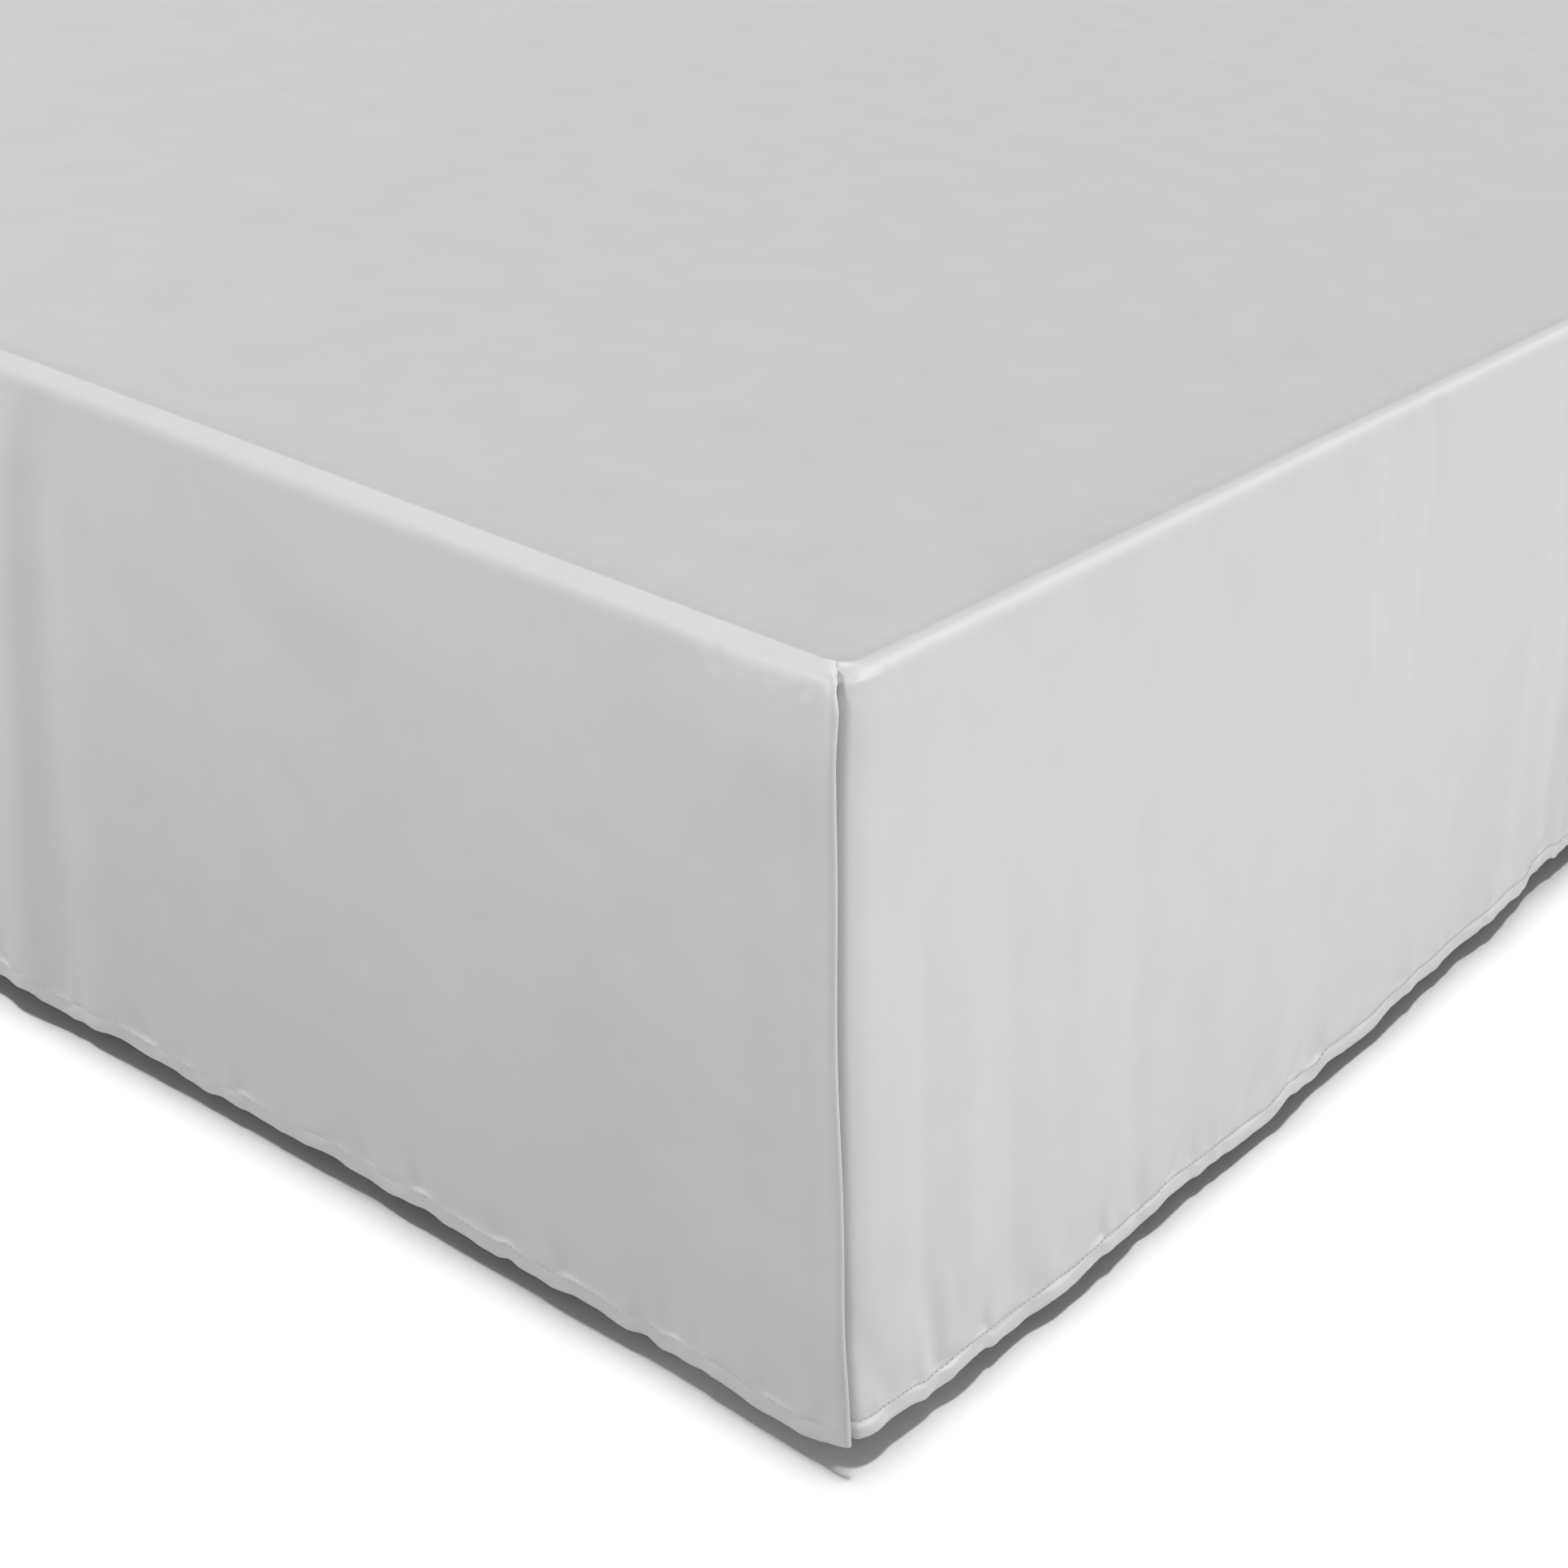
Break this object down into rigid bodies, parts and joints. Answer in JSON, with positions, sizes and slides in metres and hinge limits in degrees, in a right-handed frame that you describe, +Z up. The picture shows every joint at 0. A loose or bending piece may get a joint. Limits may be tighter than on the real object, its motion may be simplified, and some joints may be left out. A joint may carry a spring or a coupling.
{
  "type": "bed skirt on a bed base",
  "caption": "Tailored bed skirt: a flat deck cloth lies on a plain bed base, and smooth drops hang nearly to the floor along the foot and sides, with a split pleat at each foot corner.",
  "frame": {"origin": "on the floor, at the middle of the bed's width and length", "axes": "+X across the bed, to the right for someone looking from its foot; +Y along the bed, from the foot to the head; +Z up from the floor"},
  "size_m": [1.5692, 2.0329, 0.3906],
  "materials": {
    "skirt_cloth": "light grey brushed cloth",
    "base_cover": "plain woven cover",
    "leg_wood": "dark stained wood"
  },
  "bodies": {
    "root": {"deck": "skirt_cloth", "foot_drop": "skirt_cloth", "side_drop_right": "skirt_cloth", "side_drop_left": "skirt_cloth", "corner_pleat_right": "skirt_cloth", "corner_pleat_left": "skirt_cloth", "box_base": "base_cover", "leg_foot_left": "leg_wood", "leg_foot_right": "leg_wood", "leg_middle_left": "leg_wood", "leg_middle_right": "leg_wood", "leg_head_left": "leg_wood", "leg_head_right": "leg_wood"}
  },
  "joints": []
}
